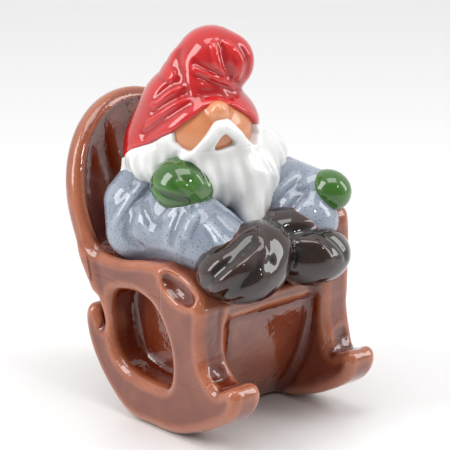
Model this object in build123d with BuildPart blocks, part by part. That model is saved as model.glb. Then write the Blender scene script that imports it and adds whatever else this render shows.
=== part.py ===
"""Glazed ceramic garden gnome asleep in a rocking chair.

Millimetres, +Z up, the gnome faces -Y, +X is to the viewer's right from the front.
The finished part's origin is at floor level under the middle of the footprint.
"Right" and "left" are the gnome's own, so the right-hand pieces are on the -X side.

The chair is slab-built: a box under the seat, a side frame on each flank and a dished back.
The figure is modelled from separate lumps and shells of clay, luted onto the chair with slip.
"""
from build123d import *
import os

# ---------------------------------------------------------------- driving dimensions
FOOTPRINT_MIDDLE = -0.13    # Y of the footprint's middle; the working origin is over the seat
HALF_WIDTH = 45.0           # outer face of the side frames
BOX_HALF_WIDTH = 28.5       # outer face of the box under the seat
SLAB = 6.0                  # clay slab that the box is cut from
EDGE = 3.0                  # rounding round the windows of the side frames
RUNNER_EDGE = 2.0           # rounding on their outer edges

SEAT_UNDER = 57.0
SEAT_TOP = 65.0
SEAT_FRONT = -42.0
SEAT_REAR = 40.0
BASE_UNDER = 2.0

LAND_FRONT = -19.0          # flat the runners rest on
LAND_REAR = 1.0
FRONT_RADIUS = 64.0         # runner radii in front of and behind the flat
REAR_RADIUS = 35.0

POST_ROOT = 30.0            # height where posts leave the runners
ARM_SPLIT = -16.0           # joint between front post and arm rest

BACK_LEAN = 20.0            # lean of the chair back, degrees from upright
BACK_FOOT = 24.0            # Y of the back's front face at 52 mm height
BACK_FOOT_HEIGHT = 52.0
BACK_THICK = 13.0
BACK_HALF_WIDTH = 45.5
BACK_LENGTH = 95.0          # foot to crown, along the lean
BACK_DISH = 8.0             # depth of the hollow in its front

WALL = 5.0                  # wall of the hollow figure parts
SEAT_VENT = 5.0             # radii of the holes that let the kiln air out
BASE_VENT = 8.0
NECK_VENT = 6.0

HEAD_RADIUS = 23.0
HEAD_CENTRE = (-1.0, 4.0, 134.0)
FACE_TURN = 20.0            # degrees that the face looks towards the gnome's right
NECK_Y = 4.0
BRIM_FRONT = -19.0          # the brim's plane, at the brow
BRIM_HEIGHT = 150.0
BRIM_TILT = 38.0            # degrees that the brim falls towards the nape

os.makedirs("parts", exist_ok=True)


# ---------------------------------------------------------------- helpers
def lump(radii, centre, towards=(0, 0, 1)):
    """An egg of clay: its third radius points along towards."""
    with BuildPart() as form:
        if radii[0] == radii[1] == radii[2]:
            Sphere(radii[0])
        elif radii[0] == radii[1]:
            with BuildSketch(Plane.XZ):
                Ellipse(radii[0], radii[2])
                Rectangle(radii[0], 2 * radii[2], align=(Align.MAX, Align.CENTER), mode=Mode.SUBTRACT)
            revolve(axis=Axis.Z)
        else:
            Sphere(1)
            scale(by=tuple(float(radius) for radius in radii))
    return Plane(origin=centre, z_dir=towards).location * form.part


def box_between(low, high):
    """A plain block between two corners, used only for cutting."""
    size = [b - a for a, b in zip(low, high)]
    middle = [(a + b) / 2 for a, b in zip(low, high)]
    return Pos(*middle) * Box(*size)


def finish(builder, name):
    """Keeps the one real body of a piece, and writes it with the origin under the middle of the footprint."""
    solid = builder.part.solids().sort_by(SortBy.VOLUME)[-1]
    placed = Pos(0, -FOOTPRINT_MIDDLE, 0) * solid
    placed.label = name
    export_step(placed, f"parts/{name}.step")
    return solid


# ---------------------------------------------------------------- box under the seat
PANEL = [(-17.0, BASE_UNDER), (-34.0, 30.0), (-40.0, SEAT_UNDER)]
REAR_FOOT = (14.0, BASE_UNDER)
REAR_HEAD = (30.0, SEAT_UNDER)

with BuildPart() as front_panel:
    with BuildSketch(Plane.YZ):
        with BuildLine():
            face = ThreePointArc(*PANEL)
            inside = ThreePointArc(*[(y + SLAB, z) for y, z in PANEL])
            Line(face @ 0, inside @ 0)
            Line(face @ 1, inside @ 1)
        make_face()
    extrude(amount=BOX_HALF_WIDTH, both=True)
front_panel_solid = finish(front_panel, "front_panel")

with BuildPart() as rear_panel:
    with BuildSketch(Plane.YZ):
        Polygon(REAR_FOOT, REAR_HEAD, (REAR_HEAD[0] - SLAB, REAR_HEAD[1]), (REAR_FOOT[0] - SLAB, REAR_FOOT[1]),
                align=None)
    extrude(amount=BOX_HALF_WIDTH, both=True)
rear_panel_solid = finish(rear_panel, "rear_panel")

with BuildPart() as base_plate:
    with BuildSketch(Plane.XY.offset(BASE_UNDER)):
        with Locations((0, (PANEL[0][0] + REAR_FOOT[0]) / 2)):
            Rectangle(2 * BOX_HALF_WIDTH, REAR_FOOT[0] - PANEL[0][0])
            Circle(BASE_VENT, mode=Mode.SUBTRACT)
    extrude(amount=SLAB)
    add(front_panel_solid, mode=Mode.SUBTRACT)
    add(rear_panel_solid, mode=Mode.SUBTRACT)
base_plate_solid = finish(base_plate, "base_plate")


def side_wall(side, name):
    """The box's side, seen through the window of the side frame."""
    inner = BOX_HALF_WIDTH - SLAB
    with BuildPart() as wall:
        with BuildSketch(Plane.YZ.offset(side * (inner + SLAB / 2))):
            Polygon((PANEL[0][0], BASE_UNDER + SLAB), (PANEL[1][0], 30), (PANEL[2][0], SEAT_UNDER),
                    (REAR_HEAD[0], SEAT_UNDER), (REAR_FOOT[0], BASE_UNDER + SLAB), align=None)
        extrude(amount=SLAB / 2, both=True)
        add(front_panel_solid, mode=Mode.SUBTRACT)
        add(rear_panel_solid, mode=Mode.SUBTRACT)
        add(base_plate_solid, mode=Mode.SUBTRACT)
    return finish(wall, name)


right_side_wall = side_wall(-1, "right_side_wall")
left_side_wall = side_wall(1, "left_side_wall")

with BuildPart() as seat:
    with BuildSketch(Plane.XY.offset(SEAT_UNDER)):
        with Locations((0, (SEAT_FRONT + SEAT_REAR) / 2)):
            Rectangle(2 * BOX_HALF_WIDTH, SEAT_REAR - SEAT_FRONT)
        with Locations((0, 10)):
            Circle(SEAT_VENT, mode=Mode.SUBTRACT)
    extrude(amount=SEAT_TOP - SEAT_UNDER)
    front_edges = seat.faces().sort_by(Axis.Y)[0].edges().filter_by(Axis.X)
    fillet(front_edges, 2)
seat_solid = finish(seat, "seat")

# ---------------------------------------------------------------- dished chair back
back_plane = Plane(
    origin=(0, BACK_FOOT, BACK_FOOT_HEIGHT), x_dir=(1, 0, 0),
    z_dir=Vector(0, -1, 0).rotate(Axis.X, -BACK_LEAN))
SHOULDER = 42.0             # where the straight flanks turn into the round crown

with BuildPart() as chair_back:
    with BuildSketch(back_plane):
        with Locations((0, SHOULDER)):
            Ellipse(BACK_HALF_WIDTH, BACK_LENGTH - SHOULDER)
        Polygon((-BACK_HALF_WIDTH, SHOULDER), (-BACK_HALF_WIDTH + 1.5, 0), (BACK_HALF_WIDTH - 1.5, 0),
                (BACK_HALF_WIDTH, SHOULDER), align=None)
    extrude(amount=-BACK_THICK)
    faces = chair_back.faces().filter_by(back_plane).sort_by(Axis.Y)
    fillet(faces[-1].edges(), 6)
    faces = chair_back.faces().filter_by(back_plane).sort_by(Axis.Y)
    fillet(faces[0].edges(), 3)
    dish_centre = back_plane.from_local_coords((0, 44, 0))
    add(lump((BACK_HALF_WIDTH - 5, 46, BACK_DISH), dish_centre, back_plane.z_dir), mode=Mode.SUBTRACT)
    split(bisect_by=Plane.XY.offset(SEAT_TOP), keep=Keep.TOP)
chair_back_solid = finish(chair_back, "chair_back")

# ---------------------------------------------------------------- side frames
WINDOW = [(-9.0, 64.0), (19.0, 62.0), (23.0, 38.0), (11.0, 20.0), (-21.0, 19.5), (-25.0, 38.0)]
RUNNER_ZONE = [(-90, -10), (90, -10), (90, 60), (46, 50), (27, POST_ROOT), (-42, POST_ROOT), (-50, 45), (-90, 45)]


def side_frame(side, post_front, top):
    """The whole flank, before it is cut into runner, posts and arm rest.

    top runs from the chair back forward to the front post's upper corner, as (Y, Z) points.
    """
    with BuildPart() as frame:
        with BuildSketch(Plane.YZ.offset(side * BOX_HALF_WIDTH)):
            with BuildLine():
                Line((LAND_FRONT, 0), (LAND_REAR, 0))
                rear_arc = JernArc((LAND_REAR, 0), (1, 0), REAR_RADIUS, 74)
                Spline(rear_arc @ 1, (39.5, 38), (36, 46), (31, 44), (26.5, 38),
                       tangents=[rear_arc % 1, (-0.6, -0.8)])
                Polyline((26.5, 38), (28, 49), (36, 65), *top)
                front_arc = JernArc((LAND_FRONT, 0), (-1, 0), FRONT_RADIUS, -44)
                Spline((post_front, 50), (post_front - 2, 39), (-55, 31), (-61, 33), (-65.5, 29), front_arc @ 1,
                       tangents=[(0, -1), (front_arc % 1) * -1])
            make_face()
            Polygon(*WINDOW, align=None, mode=Mode.SUBTRACT)
        extrude(amount=side * (HALF_WIDTH - BOX_HALF_WIDTH))
        corners = frame.edges().filter_by(Axis.X).filter_by_position(Axis.Z, 19, 68)
        inside = [e for e in corners if any((Vector(0, *w) - e.center()).Y ** 2 < 0.1
                                           and (Vector(0, *w) - e.center()).Z ** 2 < 0.1 for w in WINDOW)]
        fillet(inside, 6)
        outer_face = frame.faces().filter_by(Axis.X).sort_by(Axis.X)[-1 if side > 0 else 0]
        fillet(outer_face.inner_wires()[0].edges(), EDGE)
        outer_face = frame.faces().filter_by(Axis.X).sort_by(Axis.X)[-1 if side > 0 else 0]
        runner_edges = outer_face.outer_wire().edges().filter_by(GeomType.CIRCLE)
        fillet(runner_edges, RUNNER_EDGE)
    return frame.part


def frame_piece(frame, name, zone, reverse=False):
    """The stretch of a side frame that lies inside a zone of the YZ plane."""
    with BuildPart() as cutter:
        with BuildSketch(Plane.YZ):
            Polygon(*zone, align=None)
        extrude(amount=HALF_WIDTH + 10, both=True)
    with BuildPart() as piece:
        add(frame)
        add(cutter.part, mode=Mode.INTERSECT)
        add(chair_back_solid, mode=Mode.SUBTRACT)
    return finish(piece, name)


FRONT_POST_ZONE = [(-90, 45), (-50, 45), (-42, POST_ROOT), (-20, POST_ROOT), (ARM_SPLIT, 60), (ARM_SPLIT, 120),
                   (-90, 120)]
REAR_POST_ZONE = [(10, POST_ROOT), (27, POST_ROOT), (46, 50), (60, 58), (60, SEAT_TOP), (5, SEAT_TOP)]
ARM_ZONE = [(ARM_SPLIT, SEAT_TOP), (ARM_SPLIT, 120), (60, 120), (60, SEAT_TOP)]

right_frame = side_frame(-1, -42.0, [(41, 70), (40, 76), (15, 74), (-13, 79), (-24, 71), (-40, 70), (-42, 66),
                                     (-42, 50)])
left_frame = side_frame(1, -49.0, [(41, 70), (40, 80), (12, 82), (-16, 91), (-34, 98), (-45, 97), (-49, 92),
                                   (-49, 50)])

right = {}
left = {}
for name, zone in (("runner", RUNNER_ZONE), ("front_post", FRONT_POST_ZONE), ("rear_post", REAR_POST_ZONE),
                   ("arm_rest", ARM_ZONE)):
    right[name] = frame_piece(right_frame, f"right_{name}", zone)
    left[name] = frame_piece(left_frame, f"left_{name}", zone)

# ---------------------------------------------------------------- lumps that make the figure
COAT_RADII = (34.0, 30.0, 36.0)
COAT_CENTRE = (0.0, 17.0, 80.0)
LEG_RADII = (17.5, 17.5, 27.0)
KNEE_X = 22.0
BOOT_RADII = (21.0, 24.0, 18.0)
BOOT_X = 18.0

brim_plane = Plane(origin=(0, BRIM_FRONT, BRIM_HEIGHT), x_dir=(1, 0, 0),
                   z_dir=Vector(0, 0, 1).rotate(Axis.X, -BRIM_TILT))

coat_form = lump(COAT_RADII, COAT_CENTRE)
head_form = lump((HEAD_RADIUS,) * 3, HEAD_CENTRE)
leg_forms = {side: lump(LEG_RADII, (side * KNEE_X, -17, 90), (side * 0.05, -1, -0.1)) for side in (-1, 1)}
boot_forms = {side: lump(BOOT_RADII, (side * BOOT_X, -43, 81)) for side in (-1, 1)}


def figure_part(name, form, neighbours, hollow=None, bores=()):
    """Trims a lump where it beds against its neighbours, then hollows and vents it."""
    with BuildPart() as piece:
        add(form)
        for neighbour in neighbours:
            add(neighbour, mode=Mode.SUBTRACT)
        if hollow:
            add(hollow, mode=Mode.SUBTRACT)
        for bore in bores:
            add(bore, mode=Mode.SUBTRACT)
    return finish(piece, name)


def rolled_arm(shoulder, elbow, wrist, radius):
    """A coil of clay bent at the elbow."""
    with BuildPart() as arm:
        with BuildLine() as bend:
            ThreePointArc(shoulder, elbow, wrist)
        with BuildSketch(Plane(origin=bend.line @ 0, z_dir=bend.line % 0)):
            Circle(radius)
        sweep(path=bend.line)
    return arm.part


# ---------------------------------------------------------------- body
below_seat = box_between((-60, -80, 0), (60, 80, SEAT_TOP))
neck_bore = Pos(HEAD_CENTRE[0], NECK_Y, 132) * Cylinder(NECK_VENT, 56)
coat_hollow = lump([r - WALL for r in COAT_RADII], COAT_CENTRE)
coat = figure_part("coat", coat_form, [below_seat, chair_back_solid, right["arm_rest"], left["arm_rest"]],
                   coat_hollow, [neck_bore])
right_leg = figure_part("right_leg", leg_forms[-1], [coat_form, right["arm_rest"], right["front_post"]])
left_leg = figure_part("left_leg", leg_forms[1], [coat_form, left["arm_rest"], left["front_post"]])
right_boot = figure_part("right_boot", boot_forms[-1], [below_seat, leg_forms[-1], right["front_post"]])
left_boot = figure_part("left_boot", boot_forms[1], [below_seat, leg_forms[1], boot_forms[-1],
                                                     left["front_post"]])

# ---------------------------------------------------------------- arms
right_arm_form = rolled_arm((-23, 22, 104), (-33, 19, 86), (-24, 0, 103), 11.0)
left_arm_form = rolled_arm((22, 20, 103), (33, -4, 102), (34, -37, 105), 10.0)
right_mitten_form = lump((13.5, 13.5, 12), (-21.5, -7, 111.5), (-0.2, -0.3, 1))
left_mitten_form = lump((11, 11, 11), (34, -44, 107))

right_sleeve = figure_part("right_sleeve", right_arm_form,
                           [coat_form, leg_forms[-1], chair_back_solid, right["arm_rest"]])
left_sleeve = figure_part("left_sleeve", left_arm_form,
                          [coat_form, leg_forms[1], chair_back_solid, left["arm_rest"], left["front_post"]])
right_mitten = figure_part("right_mitten", right_mitten_form, [right_arm_form, coat_form, leg_forms[-1],
                                                               head_form])
left_mitten = figure_part("left_mitten", left_mitten_form, [leg_forms[1], left_arm_form, left["front_post"]])

# ---------------------------------------------------------------- head, hair and beard
head_hollow = lump((HEAD_RADIUS - WALL,) * 3, HEAD_CENTRE)
head = figure_part("head", head_form, [coat_form], head_hollow, [neck_bore])

hair_form = lump((29, 25, 21), (-1, 17, 119))
face_side = box_between((-60, -60, 60), (60, -6, 200))
brim_cut = brim_plane.location * Box(160, 160, 80, align=(Align.CENTER, Align.CENTER, Align.MIN))
hair = figure_part("hair", hair_form, [face_side, brim_cut, head_form, right_mitten_form, chair_back_solid,
                                       coat_form, right_arm_form, left_arm_form])

beard_form = lump((26, 15, 25), (3, -15, 112), (0, -0.3, 1))
above_chin = box_between((-60, -60, 133), (60, 20, 200))
behind_beard = box_between((-60, -6, 60), (60, 60, 200))
beard = figure_part("beard", beard_form, [above_chin, behind_beard, head_form, coat_form, right_mitten_form,
                                          leg_forms[-1], leg_forms[1], boot_forms[-1], boot_forms[1],
                                          left_arm_form, right_arm_form])

face = Pos(*HEAD_CENTRE) * Rot(0, 0, -FACE_TURN)
moustache_forms = [face * lump((5, 5, 12), (side * 8.5, -21.5, 2), (side * 0.8, 0.2, -0.6)) for side in (-1, 1)]
moustache = figure_part("moustache", moustache_forms[0] + moustache_forms[1], [head_form, beard_form])

# ---------------------------------------------------------------- hat
hat_lumps = [lump((24, 24, 34), (-1, 10, 141)), lump((27, 27, 24), (-2, 7, 131)),
             lump((16, 16, 19), (5, 5, 164)), lump((11.5, 11.5, 14), (12, -2, 163))]
below_brim = brim_plane.location * Box(160, 160, 160, align=(Align.CENTER, Align.CENTER, Align.MAX))
hat_hollow = lump((13, 13, 14), (1, 9, 159))
hat_body = hat_lumps[0] + hat_lumps[1] + hat_lumps[2] + hat_lumps[3]
hat = figure_part("hat", hat_body, [below_brim, head_form, chair_back_solid, coat_form, right_arm_form,
                                    left_arm_form], hat_hollow, [neck_bore])
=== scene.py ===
"""Looks of the glazed ceramic gnome asleep in a rocking chair.

Every group of clay parts is sculpted as a distance field on a small grid (below 0 inside the clay), blended
as wet clay blends, cut along its CAD nodes and turned into meshes. Sizes are millimetres in the CAD's frame:
the gnome faces -Y, its right hand is on the -X side, the floor is Z = 0 and the Y origin is over the seat.
mesh_piece() turns that into metres. The studio at the end of the script is in metres.
"""
import functools
import math
from collections import namedtuple
from types import SimpleNamespace

import bpy
import numpy as np
import openvdb
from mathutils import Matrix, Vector


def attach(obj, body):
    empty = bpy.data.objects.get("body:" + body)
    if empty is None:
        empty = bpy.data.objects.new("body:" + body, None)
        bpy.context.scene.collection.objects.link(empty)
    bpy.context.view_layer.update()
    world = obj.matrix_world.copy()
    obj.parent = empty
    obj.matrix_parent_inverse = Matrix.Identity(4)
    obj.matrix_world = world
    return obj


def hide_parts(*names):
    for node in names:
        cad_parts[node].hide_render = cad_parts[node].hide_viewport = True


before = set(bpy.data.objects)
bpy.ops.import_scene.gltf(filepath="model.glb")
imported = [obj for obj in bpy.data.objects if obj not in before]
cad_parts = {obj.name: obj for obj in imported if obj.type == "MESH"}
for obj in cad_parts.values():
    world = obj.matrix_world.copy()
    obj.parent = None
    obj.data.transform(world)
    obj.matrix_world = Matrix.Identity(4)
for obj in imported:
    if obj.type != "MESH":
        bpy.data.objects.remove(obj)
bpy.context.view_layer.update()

MM = 0.001
VOXEL = 0.64
BAND = 4.0                      # how far from the surface the fields are kept
CUT_OVERLAP = 0.4               # how far a part runs past the line between it and its neighbour

# the chair
BOX_HALF_WIDTH = 28.5
BOX_UNDER = 2.0
SLAB = 6.0                      # thickness of the box's panels
SEAT_UNDER, SEAT_TOP = 57.0, 65.0
SEAT_MIDDLE, SEAT_HALF_DEPTH = -1.0, 41.0
VENT_MIDDLE, VENT_RADIUS = -1.5, 8.0
BACK_LEAN = math.radians(20)
BACK_FOOT = (24.0, 52.0)        # Y and Z where the back's front face starts
BACK_HALF_WIDTH = 45.5
BACK_THICKNESS = 13.0
CROWN_START, CROWN_HEIGHT = 42.0, 53.5
DISH_HALF_WIDTH, DISH_HALF_HEIGHT, DISH_DEPTH = 40.5, 47.0, 8.5
DISH_MIDDLE = 43.0
FRAME_MIDDLE, FRAME_HALF_THICKNESS = 36.0, 9.0
RUNNER_TOP = 28.0
FRONT_POST_REAR = -16.0

# the gnome
HEAD = (-1.0, 4.0, 134.0)
HEAD_RADIUS = 23.5
NOSE_REACH = 20.0
FACE_TURN = -20.0               # degrees; the head looks a little to its right
MOUSTACHE_FOOT = 128.5
HAIR_FRONT = -6.0

# the glaze, in 1/mm of bend: it pools in hollows and draws off sharp edges
POOLED_BEND, THIN_BEND = -0.06, 0.26
MOTTLE = 0.25                   # how much a cloudy noise shifts that

# the studio, in metres: the camera stands where the photograph's did
TARGET = Vector((-0.002, -0.01235, 0.08947))
TO_CAMERA = Vector((-0.6364, -0.7068, 0.3090))
CAMERA_DISTANCE = 1.3
LENS, SENSOR = 226.1, 36
LIGHT_AIM = Vector((0, 0, 0.09))
TENT_OPENING = (-0.60, -0.78, 0.18)
OPENING_EDGE, OPENING_CORE = 0.35, 0.8      # cosines of the angle to the opening's middle
CLOTH_GLOW, OPENING_GLOW, BACKDROP_GLOW = 0.88, 0.28, 0.89


# ---------------------------------------------------------------- distance fields
class Block:
    """A box of grid points, VOXEL apart, that a group of fields is worked out on."""

    def __init__(self, low, high):
        self.low = np.array(low, float)
        counts = np.ceil((np.array(high) - self.low) / VOXEL).astype(int) + 1
        x, y, z = [(self.low[i] + np.arange(counts[i]) * VOXEL).astype(np.float32) for i in range(3)]
        self.x = x[:, None, None]
        self.y = y[None, :, None]
        self.z = z[None, None, :]
        self.shape = tuple(counts)

    def part(self, low, high):
        """The slices of the block that cover a smaller box, and the grid's axes in them."""
        first = np.clip(np.floor((low - self.low) / VOXEL).astype(int), 0, np.array(self.shape) - 1)
        last = np.clip(np.ceil((high - self.low) / VOXEL).astype(int) + 1, 1, self.shape)
        i, j, k = [slice(a, b) for a, b in zip(first, last)]
        return (i, j, k), SimpleNamespace(x=self.x[i], y=self.y[:, j], z=self.z[:, :, k])

    def covers(self, points):
        """Which of the points lie in the block."""
        return ((points > self.low) & (points < self.low + np.array(self.shape) * VOXEL)).all(1)

    def sample(self, field, points):
        """The field's value at points, between grid points."""
        at = (points - self.low) / VOXEL
        at = np.clip(at, 0, np.array(field.shape) - 1.001)
        whole = at.astype(int)
        rest = at - whole
        value = 0
        for corner in range(8):
            step = np.array([corner & 1, corner >> 1 & 1, corner >> 2])
            weight = np.prod(np.where(step, rest, 1 - rest), axis=1)
            i, j, k = (whole + step).T
            value = value + weight * field[i, j, k]
        return value


def full(b, field):
    """A field spread over the whole block."""
    return np.broadcast_to(field, b.shape).astype(np.float32)


def overlap(b, *fields):
    """What lies inside every one of the fields."""
    return full(b, functools.reduce(np.maximum, fields))


def egg(b, centre, radii, turn=None):
    """An ellipsoid. turn is a 3x3 matrix whose rows are its own axes."""
    dx, dy, dz = b.x - centre[0], b.y - centre[1], b.z - centre[2]
    if turn is not None:
        dx, dy, dz = [row[0] * dx + row[1] * dy + row[2] * dz for row in turn]
    scaled = np.sqrt((dx / radii[0]) ** 2 + (dy / radii[1]) ** 2 + (dz / radii[2]) ** 2)
    slope = np.sqrt((dx / radii[0] ** 2) ** 2 + (dy / radii[1] ** 2) ** 2 + (dz / radii[2] ** 2) ** 2)
    return scaled * (scaled - 1) / np.maximum(slope, 1e-6)


def towards(direction, up=(0, 0, 1)):
    """Axes whose last row points along direction."""
    d = np.array(direction, float) / np.linalg.norm(direction)
    side = np.cross(up, d)
    side /= np.linalg.norm(side)
    return np.array([side, np.cross(d, side), d])


def coil(b, points, radii):
    """A rolled coil of clay that runs through points with its own radius at each."""
    best = np.inf
    for p, q, r0, r1 in zip(points, points[1:], radii, radii[1:]):
        p, q = np.array(p, float), np.array(q, float)
        run = q - p
        dx, dy, dz = b.x - p[0], b.y - p[1], b.z - p[2]
        t = np.clip((dx * run[0] + dy * run[1] + dz * run[2]) / run.dot(run), 0, 1)
        away = np.sqrt((dx - t * run[0]) ** 2 + (dy - t * run[1]) ** 2 + (dz - t * run[2]) ** 2)
        best = np.minimum(best, away - (r0 + (r1 - r0) * t))
    return best


def join(a, b, soft):
    """Union with a fillet of about soft."""
    h = np.maximum(soft - np.abs(a - b), 0) / soft
    return np.minimum(a, b) - h * h * soft / 4


def carve(a, b, soft):
    """a with b taken away, with a soft rim."""
    return -join(-a, b, soft)


def join_all(fields, soft):
    """All the fields joined, one after another."""
    whole = fields[0]
    for field in fields[1:]:
        whole = join(whole, field, soft)
    return whole


def smooth_line(points, steps, closed=False):
    """A curve through points, by Catmull-Rom."""
    pts = np.array(points, float)
    n = len(pts)
    out = []
    for i in range(n if closed else n - 1):
        p0 = pts[(i - 1) % n] if closed or i > 0 else pts[0]
        p1, p2 = pts[i], pts[(i + 1) % n]
        p3 = pts[(i + 2) % n] if closed or i + 2 < n else pts[-1]
        for s in range(steps):
            t = s / steps
            out.append(0.5 * (2 * p1 + (p2 - p0) * t + (2 * p0 - 5 * p1 + 4 * p2 - p3) * t * t
                              + (3 * p1 - p0 - 3 * p2 + p3) * t ** 3))
    if not closed:
        out.append(pts[-1])
    return np.array(out)


def flat_shape(across, up, outline):
    """Signed distance to a closed outline in a plane, on the grid that across and up span."""
    a, u = np.broadcast_arrays(across, up)
    best = np.full(a.shape, 1e9, np.float32)
    inside = np.zeros(a.shape, bool)
    for p, q in zip(outline, np.roll(outline, -1, axis=0)):
        run = q - p
        da, du = a - p[0], u - p[1]
        t = np.clip((da * run[0] + du * run[1]) / run.dot(run), 0, 1)
        best = np.minimum(best, (da - t * run[0]) ** 2 + (du - t * run[1]) ** 2)
        crosses = (p[1] > u) != (q[1] > u)
        if run[1]:
            inside ^= crosses & (a < run[0] * (u - p[1]) / run[1] + p[0])
    return np.where(inside, -1, 1) * np.sqrt(best)


def thickened(shape, depth, rounding):
    """A flat shape given a thickness: depth is the distance outside the slab's two faces."""
    a, d = shape + rounding, depth + rounding
    outside = np.sqrt(np.maximum(a, 0) ** 2 + np.maximum(d, 0) ** 2)
    return outside + np.minimum(np.maximum(a, d), 0) - rounding


def on_surface(b, field, line):
    """The points of a line moved square to the surface until they lie on it."""
    for _ in range(4):
        value = b.sample(field, line)
        slope = np.stack([b.sample(field, line + step) - b.sample(field, line - step)
                          for step in np.eye(3) * VOXEL], 1)
        steepness = np.maximum(np.linalg.norm(slope, axis=1, keepdims=True), 1e-6)
        line = line - slope / steepness * value[:, None]
    return line


def stroke(b, field, points, width, height):
    """Raises a soft ridge along a line on the surface, or cuts a groove where height is negative."""
    line = smooth_line(points, 4) if len(points) > 2 else np.array(points, float)
    line = on_surface(b, field, line)
    margin = 3 * width
    cut, near = b.part(line.min(0) - margin, line.max(0) + margin)
    away = coil(near, line, np.zeros(len(line)))
    half_length = np.linalg.norm(line[0] - line[-1]) / 2
    middle = (line[0] + line[-1]) / 2
    reach = np.sqrt((near.x - middle[0]) ** 2 + (near.y - middle[1]) ** 2 + (near.z - middle[2]) ** 2)
    fade = np.clip(1.35 - reach / (half_length + width), 0, 1)      # dies away past both ends
    field[cut] -= height * np.exp(-(away / width) ** 2) * fade


def stroke_all(b, field, strokes):
    """Strokes from a list of (points, width, height)."""
    for points, width, height in strokes:
        stroke(b, field, points, width, height)


def bend_of(b, field):
    """How convex (above 0) or hollow (below 0) the surface is, in 1/mm, by the field's Laplacian."""
    soft = field
    for _ in range(3):
        for axis in range(3):
            soft = (np.roll(soft, 1, axis) + soft * 2 + np.roll(soft, -1, axis)) / 4
    total = -6 * soft
    for axis in range(3):
        total = total + np.roll(soft, 1, axis) + np.roll(soft, -1, axis)
    return total / VOXEL ** 2


# ---------------------------------------------------------------- meshes
Group = namedtuple("Group", "name block whole own slot")        # own is {node: the node's own field}
GROUPS = []


def add_group(name, b, whole, own, slot):
    """Keeps a blended group until every group is there to be measured against."""
    GROUPS.append(Group(name, b, whole.astype(np.float32), own, slot))


def distance_to_others(group, points):
    """How far points of one group are from the nearest other group, up to BAND."""
    near = np.full(len(points), BAND)
    for other in GROUPS:
        if other is not group:
            inside = other.block.covers(points)
            near[inside] = np.minimum(near[inside], other.block.sample(other.whole, points[inside]))
    return near


def mesh_piece(group, node, field, bend, material):
    """Turns a field into the clay piece that stands for one CAD node."""
    grid = openvdb.FloatGrid(BAND)
    grid.copyFromArray(np.clip(field, -BAND, BAND).astype(np.float32))
    points, quads = grid.convertToQuads(0.0)
    points = group.block.low + points * VOXEL
    corners = points[quads]
    normal = np.cross(corners[:, 1] - corners[:, 0], corners[:, 2] - corners[:, 0])
    if np.einsum("ij,ij->", corners[:, 0], normal) < 0:         # the faces look inwards
        quads = quads[:, ::-1]
    mesh = bpy.data.meshes.new(node + "_clay")
    mesh.from_pydata((points * MM).tolist(), [], quads.tolist())
    mesh.polygons.foreach_set("use_smooth", np.ones(len(mesh.polygons), bool))
    measures = {"bend": group.block.sample(bend, points), "seam": distance_to_others(group, points)}
    for name, values in measures.items():
        attribute = mesh.attributes.new(name, "FLOAT", "POINT")
        attribute.data.foreach_set("value", values.astype(np.float32))
    mesh.update()
    mesh.materials.append(material)
    piece = bpy.data.objects.new(node + "_clay", mesh)
    bpy.context.scene.collection.objects.link(piece)
    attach(piece, "root")
    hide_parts(node)


def build_groups(materials):
    """Cuts each blended group half-way between its nodes' own fields and meshes the parts."""
    for group in GROUPS:
        bend = bend_of(group.block, group.whole)
        for node, own in group.own.items():
            field = group.whole
            rest = [other_own for other, other_own in group.own.items() if other != node]
            if rest:
                field = np.maximum(field, (own - np.minimum.reduce(rest)) / 2 - CUT_OVERLAP)
            mesh_piece(group, node, field, bend, materials[group.slot])


# ---------------------------------------------------------------- the rocking chair
# Side outlines as (Y, Z). SOLE runs back along the floor and round the rear tip, NOSE round the front tip.
SOLE = [(-7, 0), (3, 0), (12, 2.8), (20.5, 9), (28.5, 17.2), (34.8, 26.5), (38.6, 36), (39.2, 43.5),
        (36.5, 48.2), (32.2, 47.5), (28.8, 43), (26.6, 39.5), (26.2, 43), (28.2, 49), (32, 56), (37, 63.5)]
NOSE = [(-52, 30.5), (-56.5, 31.2), (-60.8, 33.2), (-64.6, 32), (-66.2, 27.5), (-63.8, 21), (-57.5, 15),
        (-45, 8), (-35.3, 4), (-26.5, 1), (-18, 0)]
WINDOW = [(19, 60), (11.7, 63), (2.5, 64), (-7.3, 62), (-14.3, 57.1), (-20.4, 48.1), (-23.8, 38.5),
          (-23.6, 26.5), (-19.1, 20.3), (-7.5, 19.3), (2.4, 20), (12.4, 23.2), (19.5, 30.3), (22.9, 43.7),
          (22.7, 53.6)]
# what a side has of its own: its arm from the rear to the front, and the face of its front post
RIGHT_ARM = [(41.5, 70), (41, 76), (30, 75.5), (14, 75.5), (0, 78.5), (-12, 80), (-21, 77.5), (-30, 74),
             (-38, 70.5), (-42, 65)]
LEFT_ARM = [(41.5, 70), (41, 77), (30, 81), (12, 82.5), (-4, 86), (-18, 92.5), (-33, 98), (-43, 97.5),
            (-48, 90)]
RIGHT_POST_FACE, LEFT_POST_FACE = -42.5, -48.0
ARM_TROUGH = [(-38, 26, 78), (-37, 8, 77), (-38, -10, 81)]


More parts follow.
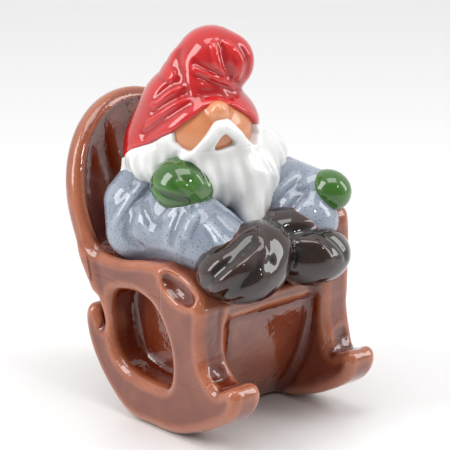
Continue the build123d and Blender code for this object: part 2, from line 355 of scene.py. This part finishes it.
def chair_box(b):
    """The fields of the box under the seat: curved front, leaning rear, walls, vented base plate, seat."""
    box_top = np.maximum(b.z - SEAT_UNDER, BOX_UNDER - b.z)
    flank = np.abs(b.x) - BOX_HALF_WIDTH
    height = SEAT_UNDER - BOX_UNDER
    front_face = -40 + 23 * ((SEAT_UNDER - b.z) / height) ** 2
    rear_face = 14 + 16 * (b.z - BOX_UNDER) / height
    ahead = (front_face - b.y) * 0.93           # squared to the leaning faces
    behind = (b.y - rear_face) * 0.96
    core = np.maximum(ahead + SLAB, behind + SLAB)
    vent = VENT_RADIUS - np.sqrt(b.x ** 2 + (b.y - VENT_MIDDLE) ** 2)
    plate_top = BOX_UNDER + SLAB
    own = {"front_panel": overlap(b, ahead, -ahead - SLAB, flank, box_top),
           "rear_panel": overlap(b, behind, -behind - SLAB, flank, box_top),
           "base_plate": overlap(b, core, flank, BOX_UNDER - b.z, b.z - plate_top, vent)}
    for side, name in ((-1, "right_side_wall"), (1, "left_side_wall")):
        outward = side * b.x - BOX_HALF_WIDTH
        own[name] = overlap(b, core, outward, -outward - SLAB, box_top, plate_top - b.z)
    seat_edge = np.maximum(flank, np.abs(b.y - SEAT_MIDDLE) - SEAT_HALF_DEPTH)
    seat_faces = np.abs(b.z - (SEAT_UNDER + SEAT_TOP) / 2) - (SEAT_TOP - SEAT_UNDER) / 2
    own["seat"] = full(b, thickened(seat_edge, seat_faces, 2.5))
    return own


def up_and_out_of_back(b):
    """Distances up the leaning back and forward of its front face, from its foot."""
    dy, dz = b.y - BACK_FOOT[0], b.z - BACK_FOOT[1]
    up = dy * math.sin(BACK_LEAN) + dz * math.cos(BACK_LEAN)
    out = dz * math.sin(BACK_LEAN) - dy * math.cos(BACK_LEAN)
    return full(b, up), full(b, out)


def chair_back(b):
    """The leaning back: round at the head, domed behind, with a shallow fluted dish in front."""
    up, out = up_and_out_of_back(b)
    crown = np.maximum(up - CROWN_START, 0) * (BACK_HALF_WIDTH / CROWN_HEIGHT)
    waist = BACK_HALF_WIDTH - 2.5 * np.clip((30 - up) / 40, 0, 1) ** 2
    rim = np.sqrt(b.x ** 2 + crown ** 2) - waist
    dome = 3.0 * np.clip(1 - (b.x / 48) ** 2 - ((up - 40) / 62) ** 2, 0, 1)
    half_thickness = (BACK_THICKNESS + dome) / 2
    slab = thickened(rim, np.abs(out + half_thickness) - half_thickness, 6.2)

    reach = np.sqrt((b.x / DISH_HALF_WIDTH) ** 2 + ((up - DISH_MIDDLE) / DISH_HALF_HEIGHT) ** 2)
    flutes = 0.9 * np.cos(b.x * 0.42 + 0.02 * up) * np.clip(1.05 - reach, 0, 0.5)
    depth = DISH_DEPTH * np.sqrt(np.clip(1 - reach ** 2, 0, 1)) + flutes
    dish = np.maximum(-out - depth, (reach - 1) * 30) * 0.85
    back = carve(slab, dish, 4.0)
    behind_foot = (b.y - 29) * 0.855 - (b.z - 47) * 0.516       # trims the lower rear edge
    back = carve(back, -full(b, behind_foot), 5.0)
    return np.maximum(back, SEAT_UNDER - b.z)


def side_frame(b, side, arm, post_face):
    """One side of the chair: runner, posts and arm round a window."""
    front_post = [(post_face, 60), (post_face + 0.5, 50), (post_face - 1.5, 38.5)]
    outline = smooth_line([*SOLE, *arm, *front_post, *NOSE], 4, closed=True)
    window = flat_shape(b.y, b.z, smooth_line(WINDOW, 4, closed=True)) + 2
    shape = carve(flat_shape(b.y, b.z, outline), window, 5.0)
    faces = np.abs(b.x * side - FRAME_MIDDLE) - FRAME_HALF_THICKNESS
    return full(b, thickened(shape, faces, 4.6))


def cut_side(b, whole, hand):
    """A side's own runner, arm rest and posts."""
    rear_rise = np.clip((b.y - 16) * 1.3, 0, 21)
    front_rise = np.clip((-46 - b.y) * 2, 0, 12)
    over_runner = b.z - RUNNER_TOP - rear_rise - front_rise
    behind_post = FRONT_POST_REAR - b.y
    zones = {"runner": [over_runner],
             "arm_rest": [SEAT_TOP - b.z, behind_post],
             "rear_post": [b.z - SEAT_TOP, -over_runner, behind_post],
             "front_post": [-over_runner, -behind_post]}
    return {f"{hand}_{name}": overlap(b, whole, *limits) for name, limits in zones.items()}


def chair(b):
    """The chair as one lump of clay, with a leaf and a trough pressed into its near arm."""
    own = chair_box(b)
    box = join_all(list(own.values()), 2.5)
    own["chair_back"] = chair_back(b)
    whole = join(box, own["chair_back"], 4.0)
    for side, hand, arm, post_face in ((-1, "right", RIGHT_ARM, RIGHT_POST_FACE),
                                       (1, "left", LEFT_ARM, LEFT_POST_FACE)):
        one_side = side_frame(b, side, arm, post_face)
        own |= cut_side(b, one_side, hand)
        whole = join(whole, one_side, 4.5)
    leaf = egg(b, (-43.5, -27, 71.5), (5.5, 4.2, 11), towards((0, -0.92, -0.38), (1, 0, 0)))
    whole = carve(whole, leaf, 2.5)
    for saddle in ((-37, -52, 37), (38, -56, 37)):      # between a front tip and its post
        whole = carve(whole, egg(b, saddle, (6.5, 7, 5)), 3.0)
    whole = np.maximum(whole, -b.z)             # flat where it stands on the floor
    stroke(b, whole, ARM_TROUGH, 3.0, -1.6)
    add_group("chair", b, whole, own, "chair_glaze")


# ---------------------------------------------------------------- coat, arms and legs
# Folds are (points, width, height): ridges where height is above 0, creases where it is below.
COAT_FOLDS = [
    ([(-43, 18, 92), (-37, 15, 101), (-28, 15, 108)], 2.2, 1.5),
    ([(-35, 6, 102), (-38, -1, 96), (-37, -5, 95)], 2.4, -2.2),
    ([(-40, 10, 97), (-42, 10, 88), (-41, 4, 82)], 2.4, -1.6),
    ([(-35, -9, 100), (-32, -12, 105), (-25, -18, 108)], 2.2, 1.6),
    ([(-15, -19, 106), (-13, -24, 102), (-5, -29, 97)], 2.2, 1.6),
    ([(-35, -23, 94), (-33, -23, 99), (-30, -23, 103)], 1.8, 1.5),
    ([(-38, -16, 90), (-36, -17, 97), (-33, -17, 102)], 2.2, -1.4),
    ([(-27, -29, 99), (-27, -34, 96), (-27, -39, 91)], 1.8, 1.3),
    ([(-22, -29, 103), (-22, -34, 99), (-21, -39, 94)], 2.0, -1.2),
    ([(24, 2, 114), (28, -8, 113), (31, -18, 112)], 2.2, -1.4),
    ([(27, -30, 110), (20, -30, 109), (13, -28, 104)], 2.4, 1.4),
    ([(30, -34, 104), (24, -38, 102), (14, -38, 99)], 2.2, -1.2)]


def clothes(b):
    """The coat with its lap, the thighs and the sleeves, laid into the chair's dish."""
    own = {
        "coat": join(egg(b, (0, 17, 82), (33, 29, 34)), coil(b, [(1, 2, 90), (2, -26, 84)], [17, 11]), 5),
        "right_leg": coil(b, [(-18, 6, 83), (-21, -14, 90), (-18, -36, 84)], [17.5, 17.5, 13]),
        "left_leg": coil(b, [(17, 6, 84), (26, -20, 95), (27, -37, 92)], [17, 17, 14.5]),
        "right_sleeve": coil(b, [(-19, 24, 108), (-28, 24, 98), (-30, 18, 86), (-27, 5, 92), (-22, 0, 103)],
                             [11, 12.5, 14, 12.5, 11]),
        "left_sleeve": coil(b, [(20, 20, 105), (28, 5, 104), (31, -16, 105), (33, -34, 105)],
                            [12, 12, 11.5, 9.5])}
    own = {name: full(b, field) for name, field in own.items()}
    whole = join_all(list(own.values()), 6.0)
    under_seat_top = (SEAT_TOP - 0.6) - b.z
    _, out = up_and_out_of_back(b)
    whole = overlap(b, whole, under_seat_top, -(DISH_DEPTH + 2) - out)
    stroke_all(b, whole, COAT_FOLDS)
    add_group("clothes", b, whole, own, "coat_glaze")


BOOT_FOLDS = [
    ([(-40, -41, 75), (-34, -50, 88), (-20, -49, 95)], 2.4, -1.5),
    ([(-36, -44, 70), (-31, -58, 81), (-17, -59, 87)], 2.4, -1.6),
    ([(-38, -43, 73), (-33, -54, 85), (-18, -54, 92)], 2.0, 1.2),
    ([(-14, -48, 97), (-17, -56, 92), (-24, -61, 83)], 2.0, 1.0),
    ([(-3, -46, 97), (8, -49, 94), (20, -51, 92), (33, -48, 88)], 2.4, -2.6),
    ([(7, -53, 90), (13, -59, 89), (16, -64, 82)], 2.0, 1.3),
    ([(20, -56, 91), (24, -62, 86), (26, -63, 80)], 2.2, -1.4)]


def boots(b):
    """Two soft boots side by side, each of two lumps run together."""
    near = join(egg(b, (-19, -42, 79), (21.5, 20, 15)), egg(b, (-7, -42, 87), (15, 15, 12.5)), 8)
    far = join(egg(b, (20, -45, 79), (19.5, 19.5, 14.5)), egg(b, (19, -36, 91.5), (21, 12, 9)), 8)
    own = {"right_boot": full(b, near), "left_boot": full(b, far)}
    whole = np.maximum(join(near, far, 0.8), 62.5 - b.z)
    stroke_all(b, whole, BOOT_FOLDS)
    add_group("boots", b, whole, own, "boot_glaze")


MITTEN_FOLDS = [
    ([(-35, 0, 113), (-33, -13, 110), (-27, -19, 108)], 1.6, -0.8),
    ([(-24, -12, 124), (-20, -17, 120), (-19, -20, 114)], 1.8, -1.2),
    ([(-31, -14, 116), (-27, -18, 112)], 1.8, 1.0)]


def near_mitten(b):
    """The right mitten, raised beside the beard, with its creases."""
    mitten = full(b, egg(b, (-22.5, -6.5, 112), (15, 14, 12.5), towards((-0.2, -0.3, 1))))
    stroke_all(b, mitten, MITTEN_FOLDS)
    add_group("near_mitten", b, mitten, {"right_mitten": mitten}, "mitten_glaze")


def far_mitten(b):
    """The left mitten, on the front end of the arm rest."""
    mitten = full(b, egg(b, (36, -41.5, 105), (9.5, 11.5, 9.8)))
    add_group("far_mitten", b, mitten, {"left_mitten": mitten}, "mitten_glaze")


# ---------------------------------------------------------------- head, beard and hat
# Places on the head are (degrees round it from the middle of the face, Z).
BRIM = [(0, 148.3), (20, 146.8), (40, 141.5), (55, 136), (75, 131.5), (100, 124), (118, 114.5), (135, 109),
        (155, 106.5), (180, 105.5)]
CHEEKS = [(-54, 165), (-54, 135), (-50, 131), (-41, 128.4), (-33, 128.7), (-18, 136), (-8, 141.4), (2, 142.5),
          (9.5, 142), (15, 139.6), (36, 128.9), (44, 128.6), (51, 131), (55, 135), (55, 165)]
MOUTH = [(-9, 128.6), (0, 135.6), (6, 134.6), (14, 131), (7.5, 129.4)]
MOUSTACHE = [(3, 138.5), (16, 134.5), (32, 126.5), (42, 124.5)]


def face_angle(b):
    """Degrees round the head from the middle of the face, positive to the gnome's left."""
    angle = np.degrees(np.arctan2(b.x - HEAD[0], -(b.y - HEAD[1]))) - FACE_TURN
    return (angle + 180) % 360 - 180


def above_brim(b, angle):
    """Distance above the hat's edge, square to the brim, which leans."""
    edge = np.interp(np.abs(angle), *zip(*BRIM))
    return (b.z - edge) * 0.78


def round_head(angle, radius):
    """X and Y of a place on the head, in degrees from the middle of the face."""
    turn = math.radians(angle + FACE_TURN)
    return HEAD[0] + radius * math.sin(turn), HEAD[1] - radius * math.cos(turn)


def painted(b, outline, angle):
    """Signed distance to a patch drawn on the head, in mm along the surface."""
    spot = np.array([(math.radians(a) * HEAD_RADIUS, z) for a, z in outline])
    return flat_shape(np.radians(angle) * HEAD_RADIUS, b.z, smooth_line(spot, 3, closed=True))


def head(b):
    """The bare head and its round nose."""
    skull = egg(b, HEAD, (HEAD_RADIUS, HEAD_RADIUS, 20.5))
    nose = egg(b, (*round_head(0, NOSE_REACH), 145.5), (4.5, 3.8, 4.5))
    whole = full(b, join(skull, nose, 4.0))
    add_group("head", b, whole, {"head": whole}, "skin_glaze")


def whiskers(b):
    """Moustache, beard and hair as one wavy layer over the head, open at the cheeks and the mouth."""
    angle = face_angle(b)
    moustache = egg(b, HEAD, (HEAD_RADIUS + 1.7, HEAD_RADIUS + 1.7, 22.5)) - 0.4
    for side in (-1, 1):
        line = [(*round_head(side * a, HEAD_RADIUS), z) for a, z in MOUSTACHE]
        moustache = join(moustache, coil(b, line, [3.6, 3.9, 3.6, 2.6]), 2.0)
    hair = join(egg(b, (-2, 17, 119), (30, 25, 19)), coil(b, [(-24, 27, 108), (-27, 32, 101)], [6, 2.5]), 5)
    beard = join(egg(b, (7, -9, 116), (30, 16, 20)), coil(b, [(8, -18, 109), (1, -29.5, 92.5)], [13, 4]), 8)
    whole = join_all([moustache, hair, beard], 4.0)

    spread = np.arctan2(b.x - 3, 12 - b.y)      # the strands fan out from inside the chin
    strands = np.cos(spread * 21 + 1.4 * np.sin(b.z * 0.21)) + 0.6 * np.cos(spread * 37 + b.z * 0.12)
    whole = whole - 0.42 * strands * np.clip((128 - b.z) / 10, 0.12, 1)
    for opening in (CHEEKS, MOUTH):
        whole = carve(whole, painted(b, opening, angle), 1.0)
    whole = np.maximum(whole, above_brim(b, angle))
    beside_face = (np.abs(angle) - 50) * 0.4
    own = {"moustache": overlap(b, MOUSTACHE_FOOT - b.z, beside_face),
           "beard": overlap(b, b.z - MOUSTACHE_FOOT, b.y - HAIR_FRONT),
           "hair": full(b, HAIR_FRONT - b.y)}
    add_group("whiskers", b, whole, own, "beard_glaze")


HAT_FOLDS = [
    ([(-10, 10, 168), (-13, 6, 161), (-15, 0, 153)], 2.6, -2.0),
    ([(-23, 11, 149), (-19, 8, 154), (-15, 4, 157)], 2.0, -1.9),
    ([(-25, 10, 142), (-22, 4, 148), (-16, -1, 152)], 2.0, -2.0),
    ([(-28, 14, 132), (-25, 2, 142), (-18, -4, 148)], 2.2, -2.1),
    ([(-24, 11, 146), (-20, 6, 151), (-15, 2, 154)], 1.7, 1.4),
    ([(-27, 12, 137), (-24, 4, 145), (-17, -3, 150)], 1.7, 1.4),
    ([(-10, -1, 166), (-7, -6, 163), (-2, -9, 160)], 1.7, -1.8),
    ([(-10, -3, 164), (-3, -9, 158), (5, -13, 154)], 1.7, 1.6),
    ([(-9, -4, 160), (-2, -10, 156), (6, -14, 152)], 1.8, -1.8),
    ([(-2, -5, 174), (-3, -8, 168), (-2, -10, 161)], 1.8, 1.5),
    ([(1, -7, 173), (0, -11, 166), (3, -12, 159)], 1.8, -2.0),
    ([(4, -8, 174), (8, -13, 167), (6, -13, 158)], 2.0, 1.6),
    ([(9, -10, 170), (12, -14, 164), (11, -13, 158)], 2.0, -1.5),
    ([(-11, -8, 153), (-5, -12, 154), (1, -15, 152)], 2.6, -2.2)]


def hat(b):
    """The pointed hat, slumped down the back of the head, with its tip folded over to the front."""
    drape = coil(b, [(-6, 17, 123), (-3, 12, 139), (0, 9, 150), (2, 8, 156), (6, 6, 162.5)],
                 [24, 22.5, 19, 17.5, 16.5])
    cap = egg(b, (-1, 4, 133.5), (26.2, 26.4, 21.5))
    nape = egg(b, (-8, 21, 117), (21, 17, 17))
    tip = egg(b, (11.5, -3, 163), (9.6, 9.6, 12))
    whole = full(b, join_all([drape, cap, nape, tip], 4))
    stroke_all(b, whole, HAT_FOLDS)
    below_brim = full(b, above_brim(b, face_angle(b)))
    whole = carve(whole, below_brim, 2.0)
    add_group("hat", b, whole, {"hat": whole}, "hat_glaze")


# ---------------------------------------------------------------- materials
def add_node(tree, kind, **values):
    """A new shader node with plain values on the inputs named, where _ stands for a space."""
    node = tree.nodes.new("ShaderNode" + kind)
    for name, value in values.items():
        node.inputs[name.replace("_", " ")].default_value = value
    return node


def texture(tree, kind, **values):
    """A procedural texture that lies still on the object."""
    node = add_node(tree, "Tex" + kind, **values)
    place = add_node(tree, "TexCoord")
    tree.links.new(place.outputs["Object"], node.inputs["Vector"])
    return node


def attribute(tree, name):
    """A measure that mesh_piece() left on every point."""
    node = add_node(tree, "Attribute")
    node.attribute_name = name
    return node.outputs["Fac"]


def maths(tree, operation, *values):
    """A Math node's result, where each value is a number or another node's output."""
    node = add_node(tree, "Math")
    node.operation = operation
    for socket, value in zip(node.inputs, values):
        if isinstance(value, float):
            socket.default_value = value
        else:
            tree.links.new(value, socket)
    return node.outputs[0]


def ramp(tree, value, start, end):
    """0 where the value is start, rising or falling to 1 where it is end."""
    node = add_node(tree, "MapRange", From_Min=start, From_Max=end)
    tree.links.new(value, node.inputs["Value"])
    return node.outputs["Result"]


def lay_over(tree, under, over, factor):
    """The colour over laid on under, which is a colour or another node's output."""
    node = add_node(tree, "Mix")
    node.data_type = "RGBA"
    if isinstance(under, tuple):
        node.inputs["A"].default_value = (*under, 1)
    else:
        tree.links.new(under, node.inputs["A"])
    node.inputs["B"].default_value = (*over, 1)
    tree.links.new(factor, node.inputs["Factor"])
    return node.outputs["Result"]


def pooling(tree):
    """0 where the glaze lies deep in a hollow, 1 where it drew off an edge, with cloudy unevenness."""
    cloud = texture(tree, "Noise", Scale=45, Detail=4)
    clouded = maths(tree, "MULTIPLY_ADD", cloud.outputs["Fac"], MOTTLE, attribute(tree, "bend"))
    return ramp(tree, clouded, POOLED_BEND + MOTTLE / 2, THIN_BEND + MOTTLE / 2)


def dots(tree, scale):
    """1 in small round dots, in about two thirds of a pattern's cells."""
    cells = texture(tree, "Voronoi", Scale=scale)
    dot = ramp(tree, cells.outputs["Distance"], 0.30, 0.16)
    draw = add_node(tree, "SeparateColor")
    tree.links.new(cells.outputs["Color"], draw.inputs[0])
    kept = maths(tree, "GREATER_THAN", draw.outputs[0], 0.35)
    return maths(tree, "MULTIPLY", dot, kept)


def glassy_waves(tree, strength):
    """The normal of a surface with the soft unevenness of thick glaze."""
    ripple = texture(tree, "Noise", Scale=190, Detail=2)
    bump = add_node(tree, "Bump", Strength=strength, Distance=0.0008)
    tree.links.new(ripple.outputs["Fac"], bump.inputs["Height"])
    return bump.outputs["Normal"]


def glaze(name, pooled, thin, wave, roughness=0.07, seam=None, speckle=None, dot_scale=0):
    """Fired glaze: pooled and thin are its colours, seam the colour where it meets another group's clay."""
    material = bpy.data.materials.new(name)
    material.use_nodes = True
    tree = material.node_tree
    shader = tree.nodes["Principled BSDF"]
    shader.inputs["Roughness"].default_value = roughness
    shader.inputs["Coat Weight"].default_value = 0.6
    shader.inputs["Coat Roughness"].default_value = 0.03
    shader.inputs["IOR"].default_value = 1.52
    colour = lay_over(tree, pooled, thin, pooling(tree))
    if seam:
        colour = lay_over(tree, colour, seam, ramp(tree, attribute(tree, "seam"), 1.1, 0.2))
    if speckle:
        colour = lay_over(tree, colour, speckle, dots(tree, dot_scale))
    tree.links.new(colour, shader.inputs["Base Color"])
    normal = glassy_waves(tree, wave)
    tree.links.new(normal, shader.inputs["Normal"])
    tree.links.new(normal, shader.inputs["Coat Normal"])
    return material


materials = {
    "chair_glaze": glaze("chair glaze", (0.135, 0.017, 0.004), (0.43, 0.135, 0.064), wave=0.4,
                         speckle=(0.22, 0.045, 0.016), dot_scale=1100),
    "coat_glaze": glaze("coat glaze", (0.20, 0.235, 0.30), (0.34, 0.39, 0.465), wave=0.12,
                        speckle=(0.05, 0.06, 0.085), dot_scale=900),
    "mitten_glaze": glaze("mitten glaze", (0.010, 0.055, 0.003), (0.050, 0.16, 0.018), wave=0.1),
    "boot_glaze": glaze("boot glaze", (0.010, 0.006, 0.004), (0.030, 0.010, 0.007), wave=0.08,
                        seam=(0.10, 0.012, 0.006)),
    "beard_glaze": glaze("beard glaze", (0.72, 0.72, 0.71), (0.86, 0.86, 0.85), wave=0.1, roughness=0.2),
    "skin_glaze": glaze("skin glaze", (0.62, 0.21, 0.08), (0.74, 0.30, 0.14), wave=0.1, roughness=0.22),
    "hat_glaze": glaze("hat glaze", (0.42, 0.005, 0.006), (0.60, 0.020, 0.022), wave=0.05)}

# ---------------------------------------------------------------- sculpt
chair(Block((-49, -76, -3), (49, 76, 150)))
clothes(Block((-48, -55, 60), (48, 52, 124)))
boots(Block((-42, -70, 58), (42, -14, 104)))
near_mitten(Block((-38, -20, 96), (-5, 12, 127)))
far_mitten(Block((20, -59, 93), (48, -29, 119)))
head_block = Block((-36, -38, 82), (36, 48, 162))
head(head_block)
whiskers(head_block)
hat(Block((-38, -30, 96), (38, 46, 189)))
build_groups(materials)


# ---------------------------------------------------------------- floor, light and camera
def studio_floor():
    """A pale flat floor, a hair under the runners."""
    bpy.ops.mesh.primitive_plane_add(size=30, location=(0, 0, -0.0002))
    sheet = bpy.context.object
    sheet.name = "studio_floor"
    material = bpy.data.materials.new("floor")
    material.use_nodes = True
    shader = material.node_tree.nodes["Principled BSDF"]
    shader.inputs["Base Color"].default_value = (0.88, 0.88, 0.88, 1)
    shader.inputs["Roughness"].default_value = 0.32
    shader.inputs["Specular IOR Level"].default_value = 0.35
    sheet.data.materials.append(material)


def place_facing(thing, place, direction):
    """Puts a lamp or a camera at a place, looking against direction."""
    bpy.context.scene.collection.objects.link(thing)
    thing.location = place
    thing.rotation_mode = "QUATERNION"
    thing.rotation_quaternion = direction.to_track_quat("Z", "Y")


def softbox(name, azimuth, elevation, distance, width, height, power):
    """A rectangular lamp: azimuth is from -Y towards +X, in degrees like elevation."""
    a, e = math.radians(azimuth), math.radians(elevation)
    light = bpy.data.lights.new(name, "AREA")
    light.shape = "RECTANGLE"
    light.size = width
    light.size_y = height
    light.energy = power
    direction = Vector((math.sin(a) * math.cos(e), -math.cos(a) * math.cos(e), math.sin(e)))
    place_facing(bpy.data.objects.new(name, light), LIGHT_AIM + direction * distance, direction)


def light_tent():
    """White cloth all round, with a darker opening on the side of the photographer."""
    world = bpy.data.worlds.new("tent")
    world.use_nodes = True
    bpy.context.scene.world = world
    tree = world.node_tree
    place = add_node(tree, "TexCoord")
    facing = add_node(tree, "VectorMath")
    facing.operation = "DOT_PRODUCT"
    facing.inputs[1].default_value = TENT_OPENING
    tree.links.new(place.outputs["Generated"], facing.inputs[0])
    cloth = add_node(tree, "MapRange", From_Min=OPENING_EDGE, From_Max=OPENING_CORE,
                     To_Min=CLOTH_GLOW, To_Max=OPENING_GLOW)
    cloth.interpolation_type = "SMOOTHSTEP"
    tree.links.new(facing.outputs["Value"], cloth.inputs["Value"])
    path = add_node(tree, "LightPath")
    strength = add_node(tree, "Mix")
    strength.inputs["B"].default_value = BACKDROP_GLOW      # what the camera sees past the floor
    tree.links.new(path.outputs["Is Camera Ray"], strength.inputs["Factor"])
    tree.links.new(cloth.outputs["Result"], strength.inputs["A"])
    background = tree.nodes["Background"]
    background.inputs["Color"].default_value = (1, 1, 1, 1)
    tree.links.new(strength.outputs["Result"], background.inputs["Strength"])


def photo_camera():
    """The long lens that the photograph was matched with."""
    lens = bpy.data.cameras.new("camera")
    lens.lens = LENS
    lens.sensor_width = SENSOR
    camera = bpy.data.objects.new("camera", lens)
    place_facing(camera, TARGET + TO_CAMERA.normalized() * CAMERA_DISTANCE, TO_CAMERA)
    bpy.context.scene.camera = camera


studio_floor()
light_tent()
softbox("left_box", azimuth=-110, elevation=35, distance=0.9, width=0.35, height=0.7, power=4)
softbox("right_box", azimuth=45, elevation=30, distance=0.9, width=0.25, height=0.7, power=2.5)
softbox("top_box", azimuth=-30, elevation=80, distance=0.9, width=0.6, height=0.4, power=2.4)
softbox("spark", azimuth=-5, elevation=42, distance=1.1, width=0.05, height=0.14, power=0.8)
photo_camera()
bpy.context.scene.view_settings.view_transform = "Standard"
